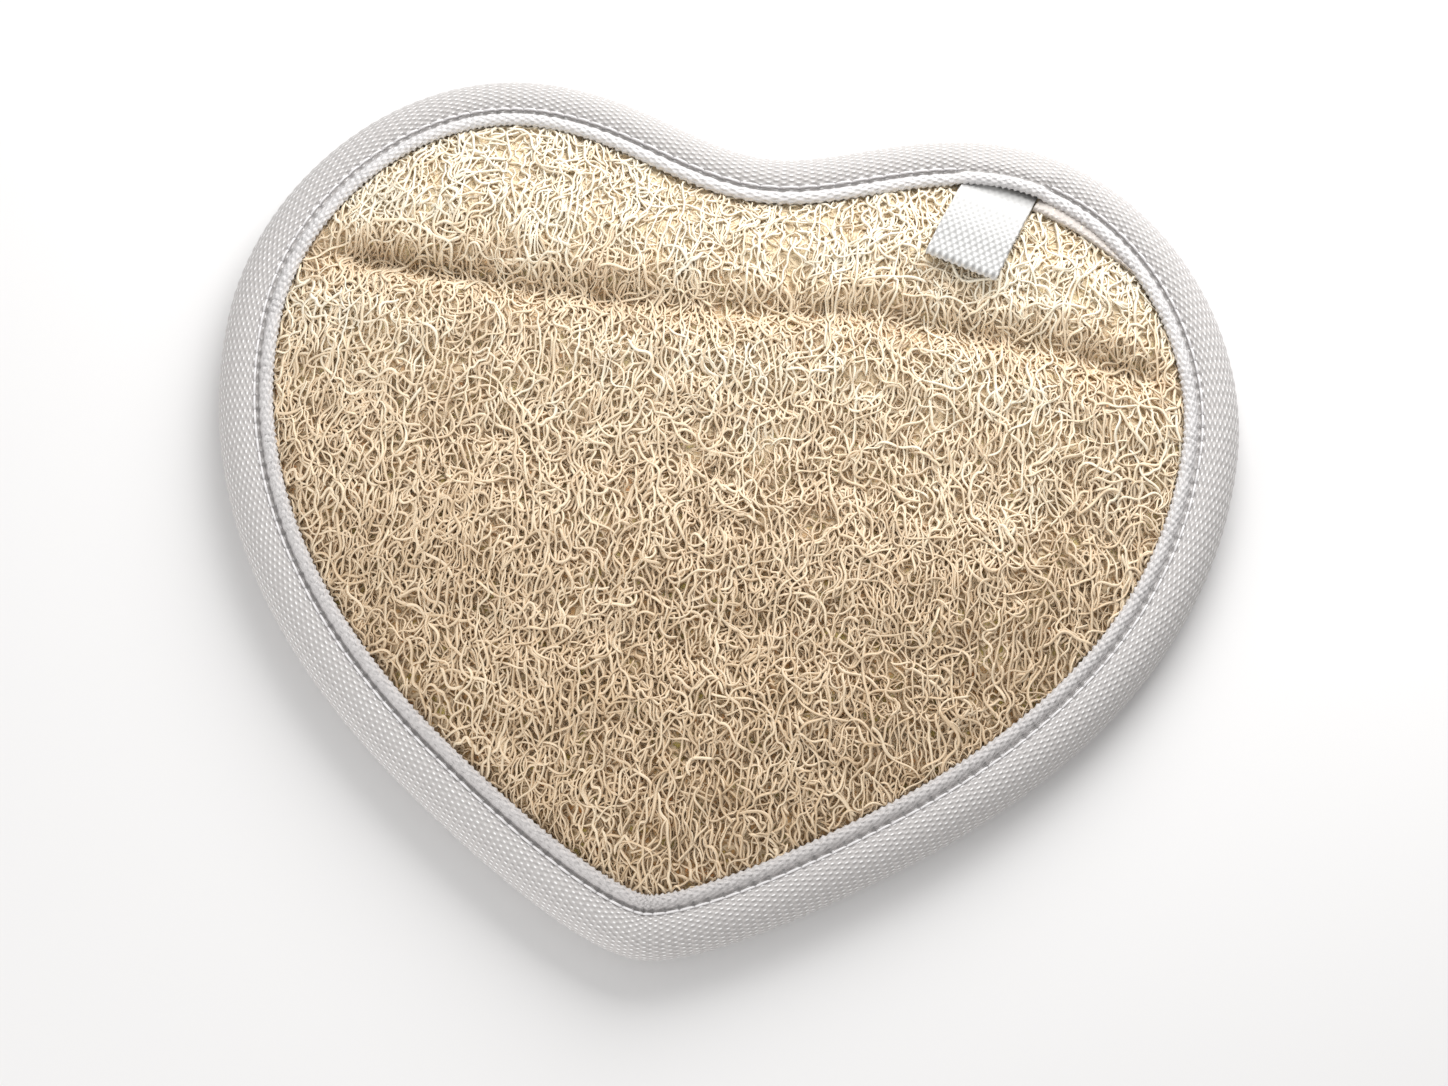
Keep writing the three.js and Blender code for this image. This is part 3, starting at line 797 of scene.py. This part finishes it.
def smooth_path(controls, steps):
    """A Catmull-Rom curve through control points."""
    ends = np.vstack([2 * controls[0] - controls[1], controls, 2 * controls[-1] - controls[-2]])
    a, b, c, d = (p[:, None, :] for p in (ends[:-3], ends[1:-2], ends[2:-1], ends[3:]))
    t = (np.arange(steps) / steps)[None, :, None]
    curve = 0.5 * (2 * b + (c - a) * t + (2 * a - 5 * b + 4 * c - d) * t**2 + (3 * b - a - 3 * c + d) * t**3)
    return np.vstack([curve.reshape(-1, controls.shape[1]), controls[-1]])


outer_path = smooth_path(np.array(TAPE_OUTER, float), 2)
outer_rows = len(outer_path) - 1
tape_section = np.vstack([outer_path, TAPE_INNER, outer_path[:1]])
tape_run = np.concatenate([[0], np.cumsum(np.linalg.norm(np.diff(outer_path, axis=0), axis=1))])
tape_normals = np.gradient(tape_section, axis=0)[:, ::-1] * (1, -1)
tape_normals /= np.linalg.norm(tape_normals, axis=1)[:, None]
tape_points, tape_inward, tape_length = heart_outline(TAPE_COLUMNS)


def tape_place(column, row):
    """The tape's surface: its section, the cords of its selvedge and the pull of its stitches."""
    stitch = column / TAPE_COLUMNS * STITCHES
    column = column % TAPE_COLUMNS
    row = row % (len(tape_section) - 1)
    depth, height = tape_section[row].T
    outside = row <= outer_rows
    selvedge = ease((depth - 6.3) / 0.6) * outside
    cords = RIB_RISE * np.cos(2 * math.pi * (2 * stitch + 0.35 * depth)) * selvedge
    cords *= 0.8 + 0.35 * np.sin(stitch * 1.9) * np.sin(stitch * 0.73)
    band = BAND_RIB * np.cos(math.pi * RIBS / STITCHES * stitch) * (1 - selvedge) * outside
    holes = 0.5 + 0.5 * np.cos(2 * math.pi * stitch)
    pull = -PUCKER * holes * np.exp(-(((depth - SEAM_DEPTH) / 0.7) ** 2)) * outside
    rise = cords + band + pull
    depth = depth + tape_normals[row, 0] * rise
    height = height + tape_normals[row, 1] * rise
    flat = inset(tape_points[column], tape_inward[column], depth)
    across = np.abs(along_loop(*flat.T)[1])
    near = ease((LOOP_WIDTH / 2 + 2 - across) / 2) * (flat[:, 1] > 0)
    height = height + LOOP_BULGE * near * ease((depth - 2.5) / 4) * ease((height - 4.5) / 2)
    return np.column_stack([flat, height])


def tape_uv(column, row):
    """Cells of the weave: one along the tape for each rib, and one across it for each yarn."""
    across = np.concatenate([tape_run, np.zeros(len(TAPE_INNER) + 1)])
    return np.column_stack([column / TAPE_COLUMNS * RIBS, across[row] / YARN_PITCH])


def weave_group():
    """Plain weave on UV cells: a mask and a height that peak where a crossing yarn floats on top."""
    tree = bpy.data.node_groups.new("plain weave", "ShaderNodeTree")
    tree.interface.new_socket("UV", in_out="INPUT", socket_type="NodeSocketVector")
    tree.interface.new_socket("Float", in_out="OUTPUT", socket_type="NodeSocketFloat")
    tree.interface.new_socket("Height", in_out="OUTPUT", socket_type="NodeSocketFloat")
    group = Nodes(tree)
    enter = tree.nodes.new("NodeGroupInput")
    leave = tree.nodes.new("NodeGroupOutput")
    wobble = group.add("ShaderNodeTexNoise", Vector=enter.outputs["UV"], Scale=0.35, Detail=1.0)
    apart = group.add("ShaderNodeSeparateXYZ", Vector=enter.outputs["UV"])
    slip = group.math("MULTIPLY_ADD", wobble.outputs["Fac"], 0.5, -0.25)
    u = group.math("MULTIPLY", group.math("ADD", apart.outputs["X"], slip), math.pi)
    v = group.math("MULTIPLY", apart.outputs["Y"], math.pi)
    over = group.math("MULTIPLY", group.math("COSINE", u), group.math("COSINE", v))
    mask = group.add("ShaderNodeMapRange", {"interpolation_type": "SMOOTHSTEP"}, Value=over)
    group.set(mask, "From Min", 0.52)
    group.set(mask, "From Max", 0.86)
    tree.links.new(mask.outputs["Result"], leave.inputs["Float"])
    tree.links.new(over, leave.inputs["Height"])
    return tree


weave = weave_group()


def woven_material(name, yarn, float_highlight, shade, roughness, relief):
    """A satin woven tape: a painted highlight where a yarn floats, and painted shade in the hollows between.
    """
    material, shader, nodes = finish_material(name, roughness)
    uv = nodes.add("ShaderNodeUVMap", {"uv_map": "weave"}).outputs["UV"]
    cloth = nodes.add("ShaderNodeGroup", {"node_tree": weave}, UV=uv)
    uneven = nodes.add("ShaderNodeTexNoise", Vector=uv, Scale=0.8, Detail=1.0)
    fuzz = nodes.add("ShaderNodeTexNoise", Vector=uv, Scale=3.5, Detail=3.0)
    # Painted shade in the hollows between the yarns, and an uneven painted highlight on the floats.
    hollow = nodes.add("ShaderNodeMapRange", Value=cloth.outputs["Height"], From_Min=-0.9, From_Max=0.05)
    ground = nodes.mix(hollow.outputs["Result"], (*shade, 1), (*yarn, 1))
    gleam = nodes.add("ShaderNodeMapRange", Value=uneven.outputs["Fac"], From_Min=0.3, From_Max=0.55)
    nodes.set(gleam, "To Min", 0.35)
    bright = nodes.math("MULTIPLY", cloth.outputs["Float"], gleam.outputs["Result"])
    color = nodes.mix(bright, ground, (*float_highlight, 1))
    nodes.set(shader, "Roughness", nodes.math("MULTIPLY_ADD", fuzz.outputs["Fac"], 0.3, roughness - 0.15))
    height = nodes.math("MULTIPLY_ADD", fuzz.outputs["Fac"], 0.4, cloth.outputs["Height"])
    bump = nodes.add("ShaderNodeBump", Height=height, Strength=0.8, Distance=relief * MM)
    nodes.set(shader, "Normal", bump.outputs["Normal"])
    shader.inputs["Sheen Weight"].default_value = 0.15
    return material, shader, nodes, uv, color, fuzz.outputs["Fac"]


def near_seam(nodes, across, crease):
    """How far a point of the weave lies from a crease, in yarns, without its sign."""
    return nodes.math("ABSOLUTE", nodes.math("SUBTRACT", across, tape_run[2 * crease] / YARN_PITCH))


tape_finish, shader, nodes, uv, woven_color, fuzz = woven_material(
    "grey woven tape", TAPE_GREY, TAPE_FLOAT_HIGHLIGHT, TAPE_SHADE, 0.5, 0.12
)
places = nodes.add("ShaderNodeSeparateXYZ", Vector=uv)
front = near_seam(nodes, places.outputs["Y"], FRONT_CREASE)
back = near_seam(nodes, places.outputs["Y"], BACK_CREASE)
from_crease = nodes.math("MINIMUM", front, back)
front_edge = nodes.math("LESS_THAN", places.outputs["Y"], tape_run[2 * FRONT_CREASE] / YARN_PITCH)
back_edge = nodes.math("GREATER_THAN", places.outputs["Y"], tape_run[2 * BACK_CREASE] / YARN_PITCH)
selvedge = nodes.math("ADD", front_edge, back_edge)
cord_dark = tuple(0.66 * part for part in SELVEDGE_COLOR)
cord_pale = tuple(1.25 * part for part in SELVEDGE_COLOR)
cord_color = nodes.mix(fuzz, (*cord_dark, 1), (*cord_pale, 1))
# Painted shade: the selvedge cords are painted darker towards the tip, the side turned away from the key
# light.
place = nodes.add("ShaderNodeTexCoord").outputs["Object"]
towards_tip = nodes.add("ShaderNodeSeparateXYZ", Vector=place).outputs["Y"]
selvedge_painted_shade = nodes.add("ShaderNodeMapRange", Value=towards_tip, From_Min=0.04, From_Max=-0.04)
nodes.set(selvedge_painted_shade, "To Max", 0.55)
cord_color = nodes.mix(selvedge_painted_shade.outputs["Result"], cord_color, SELVEDGE_SHADE_COLOR)
surface = nodes.mix(selvedge, woven_color, cord_color)
# Painted shade: the needle holes and the crease beside the stitches are painted dark.
stitch = nodes.math("FRACT", nodes.math("MULTIPLY_ADD", places.outputs["X"], STITCHES / RIBS, 0.5))
along = nodes.math("MULTIPLY", nodes.math("SUBTRACT", stitch, 0.5), tape_length / STITCHES)
across = nodes.math("MULTIPLY", from_crease, YARN_PITCH)
hole_at = nodes.math("SUBTRACT", across, 0.25)
away = nodes.math("SQRT", nodes.math("ADD", nodes.math("POWER", along, 2), nodes.math("POWER", hole_at, 2)))
hole = nodes.add("ShaderNodeMapRange", {"interpolation_type": "SMOOTHSTEP"}, Value=away)
nodes.set(hole, "From Min", 0.32)
nodes.set(hole, "From Max", 0.1)
crease = nodes.add("ShaderNodeMapRange", {"interpolation_type": "SMOOTHSTEP"}, Value=across)
nodes.set(crease, "From Min", 0.16)
nodes.set(crease, "From Max", 0.02)
nodes.set(crease, "To Max", 0.1)
dark = nodes.math("MAXIMUM", hole.outputs["Result"], crease.outputs["Result"])
nodes.set(shader, "Base Color", nodes.mix(dark, surface, SEAM_SHADE_COLOR))
tape = bent_grid("tape_binding", TAPE_COLUMNS, len(tape_section) - 1, tape_place, tape_uv)
dress(tape, "binding_tape", "woven_tape", tape_finish)


# Start of the binding: the tape's first few millimetres, which show inside its end, right of the loop.
# Its selvedge runs beside the binding's own and is drawn under it.
START_X = 43.3
START_LENGTH = 24
START_REACH = 2.5
START_DARK = (0.36, 0.325, 0.30, 1)
START_PALE = (0.76, 0.705, 0.66, 1)
START_SECTION = [  # share of the reach, and height over the face
    (-0.4, 0.1), (0.0, 0.35), (0.3, 0.3), (0.5, 0.4), (0.58, 0.75), (0.7, 0.98), (0.88, 0.98), (1.0, 0.7),
    (1.04, 0.3), (0.95, -0.05), (0.6, -0.1), (0.1, -0.1), (-0.4, -0.1), (-0.4, 0.1),
]

start_column = int(np.argmin(np.abs(tape_points[: TAPE_COLUMNS // 4, 0] - START_X)))
start_columns = int(START_LENGTH / tape_length * TAPE_COLUMNS)
start_section = smooth_path(np.array(START_SECTION, float), 2)
start_section[-1] = start_section[0]


def start_place(column, row):
    """A short strip with a corded edge, narrowing until it's drawn under the binding."""
    share = column / start_columns
    reach = START_REACH * (1 - share**2.5)
    across, rise = start_section[row].T
    closing = ease(np.minimum(share / 0.03, (1 - share) / 0.06))
    rise = 0.4 + (rise - 0.4) * closing
    across = 0.5 + (across - 0.5) * closing
    knots = 0.2 * np.cos(math.pi * column / 1.6 + across * 3) * ease((across - 0.5) / 0.2) * closing
    at = (start_column + column) % TAPE_COLUMNS
    flat = inset(tape_points[at], tape_inward[at], LIP_DEPTH + across * reach)
    height = face_height(*flat.T) + rise + knots
    return np.column_stack([flat, height])


selvedge_finish, shader, nodes = finish_material("tape selvedge", 0.55)
place = nodes.add("ShaderNodeTexCoord").outputs["Object"]
fuzz = nodes.add("ShaderNodeTexNoise", Vector=place, Scale=1900.0, Detail=3.0)
nodes.set(shader, "Base Color", nodes.mix(fuzz.outputs["Fac"], START_DARK, START_PALE))
bump = nodes.add("ShaderNodeBump", Height=fuzz.outputs["Fac"], Strength=0.9, Distance=0.0003)
nodes.set(shader, "Normal", bump.outputs["Normal"])
tape_start = bent_grid("tape_start", start_columns, len(start_section) - 1, start_place)
dress(tape_start, "binding_tape", "woven_tape", selvedge_finish)


# Sewing thread: one line of lockstitch through the tape and both layers.
# Each stitch stands a little over the tape and dives into its needle hole.
THREAD_RADIUS = 0.17
STITCH_SHAPE = [(0.07, -0.4), (0.2, 0.0), (0.5, 0.08), (0.8, 0.0), (0.93, -0.4)]  # share of a stitch, rise
STITCH_DEPTH = 5.7
FRONT_GROOVE = 8.2
BACK_GROOVE = 0.5
THREAD_COLOR = (0.86, 0.84, 0.84, 1)
THREAD_SHADE = (0.64, 0.62, 0.62, 1)

thread_finish, shader, nodes = finish_material("twisted thread", 0.55)
place = nodes.add("ShaderNodeTexCoord").outputs["Object"]
twist = nodes.add("ShaderNodeTexNoise", Vector=place, Scale=5000.0, Detail=1.0)
nodes.set(shader, "Base Color", nodes.mix(twist.outputs["Fac"], THREAD_SHADE, THREAD_COLOR))
bump = nodes.add("ShaderNodeBump", Height=twist.outputs["Fac"], Strength=0.5, Distance=0.00005)
nodes.set(shader, "Normal", bump.outputs["Normal"])


def stitches(groove, side):
    """The stitches of one side, from hole to hole."""
    strands = []
    for k in range(STITCHES):
        shares = np.array([k + share for share, _ in STITCH_SHAPE]) / STITCHES * TAPE_COLUMNS
        column = np.rint(shares).astype(int) % TAPE_COLUMNS
        flat = inset(tape_points[column], tape_inward[column], np.full(len(column), STITCH_DEPTH))
        height = groove + side * np.array([rise for _, rise in STITCH_SHAPE])
        strands.append(np.column_stack([flat, height, np.ones(len(column))]))
    return strands


for name, node, groove, side in (
    ("stitches_front", "seam_thread_front", FRONT_GROOVE, 1),
    ("stitches_back", "seam_thread_back", BACK_GROOVE, -1),
):
    run = tube_piece(name, stitches(groove, side), THREAD_RADIUS, 6)
    dress(run, node, "thread", thread_finish)


# Hanging loop: a short white cotton tape, folded double, its ends sewn in under the binding.
# It lies on the loofah, and its fold lifts a little.
LOOP_PLY = 0.6
LOOP_SLIT = 0.45
LOOP_CELLS_ACROSS = 21
LOOP_ROW = 0.9
LOOP_SAMPLES = 3
LOOP_WHITE = (0.56, 0.555, 0.545)
LOOP_FLOAT_HIGHLIGHT = (0.72, 0.72, 0.71)
LOOP_SHADE = (0.36, 0.355, 0.35)
WORN_FROM = 18
WORN_TO = 9
LOOP_RELIEF = 0.17

alongs = np.linspace(-LOOP_ROOT, LOOP_LENGTH, 60)
lower_line = np.column_stack([alongs, loop_underside(alongs) + LOOP_PLY / 2])
apart = LOOP_PLY + 0.05 + (LOOP_SLIT - 0.05) * ease((alongs - 1) / 6)
turns = np.linspace(-math.pi / 2, math.pi / 2, 11)[1:-1]
fold = apart[-1] / 2
fold_line = lower_line[-1] + np.column_stack([fold * np.cos(turns), fold * (1 + np.sin(turns))])
upper_line = (lower_line + np.column_stack([np.zeros(len(alongs)), apart]))[::-1]
loop_course = np.vstack([lower_line, fold_line, upper_line])
loop_rows = int(evenly(loop_course, 2)[1] / LOOP_ROW) * LOOP_SAMPLES
loop_line, loop_length = evenly(loop_course, loop_rows + 1)
loop_normals = np.gradient(loop_line, axis=0)[:, ::-1] * (1, -1)
loop_normals /= np.linalg.norm(loop_normals, axis=1)[:, None]


def loop_surface(column, row):
    """The loop's ribbon along its folded line."""
    across = (column / (LOOP_CELLS_ACROSS * LOOP_SAMPLES) - 0.5) * LOOP_WIDTH
    weave_u = column / LOOP_SAMPLES
    weave_v = row / LOOP_SAMPLES
    over = np.cos(math.pi * weave_u) * np.cos(math.pi * weave_v)
    free = ease((loop_line[row, 0] - 3) / 10)
    rise = LOOP_RELIEF * np.where(over > 0, over, 0.25 * over) * (0.2 + 0.8 * free)
    along, height = (loop_line[row] + loop_normals[row] * rise[:, None]).T
    x, y = loop_place(along, across)
    return np.column_stack([x, y, height])


def loop_uv(column, row):
    return np.column_stack([column / LOOP_SAMPLES, row / LOOP_SAMPLES])


loop = bent_grid("loop_of_tape", LOOP_CELLS_ACROSS * LOOP_SAMPLES, loop_rows, loop_surface, loop_uv)
thicken = loop.modifiers.new("thickness", "SOLIDIFY")
thicken.thickness = (LOOP_PLY - LOOP_RELIEF) * MM
thicken.offset = 0
loop_finish, shader, nodes, uv, woven_color, _ = woven_material(
    "white loop tape", LOOP_WHITE, LOOP_FLOAT_HIGHLIGHT, LOOP_SHADE, 0.6, 0.14
)
row = nodes.add("ShaderNodeSeparateXYZ", Vector=uv).outputs["Y"]
worn = nodes.add("ShaderNodeMapRange", {"interpolation_type": "SMOOTHSTEP"}, Value=row)
nodes.set(worn, "From Min", loop_rows / LOOP_SAMPLES - WORN_FROM)
nodes.set(worn, "From Max", loop_rows / LOOP_SAMPLES - WORN_TO)
nodes.set(worn, "To Max", 0.75)
relief = shader.inputs["Normal"].links[0].from_node
nodes.set(relief, "Strength", nodes.math("MULTIPLY_ADD", worn.outputs["Result"], -0.8, 0.8))
nodes.set(shader, "Base Color", nodes.mix(worn.outputs["Result"], woven_color, (*LOOP_WHITE, 1)))
dress(loop, "hanging_loop", "loop_tape", loop_finish)
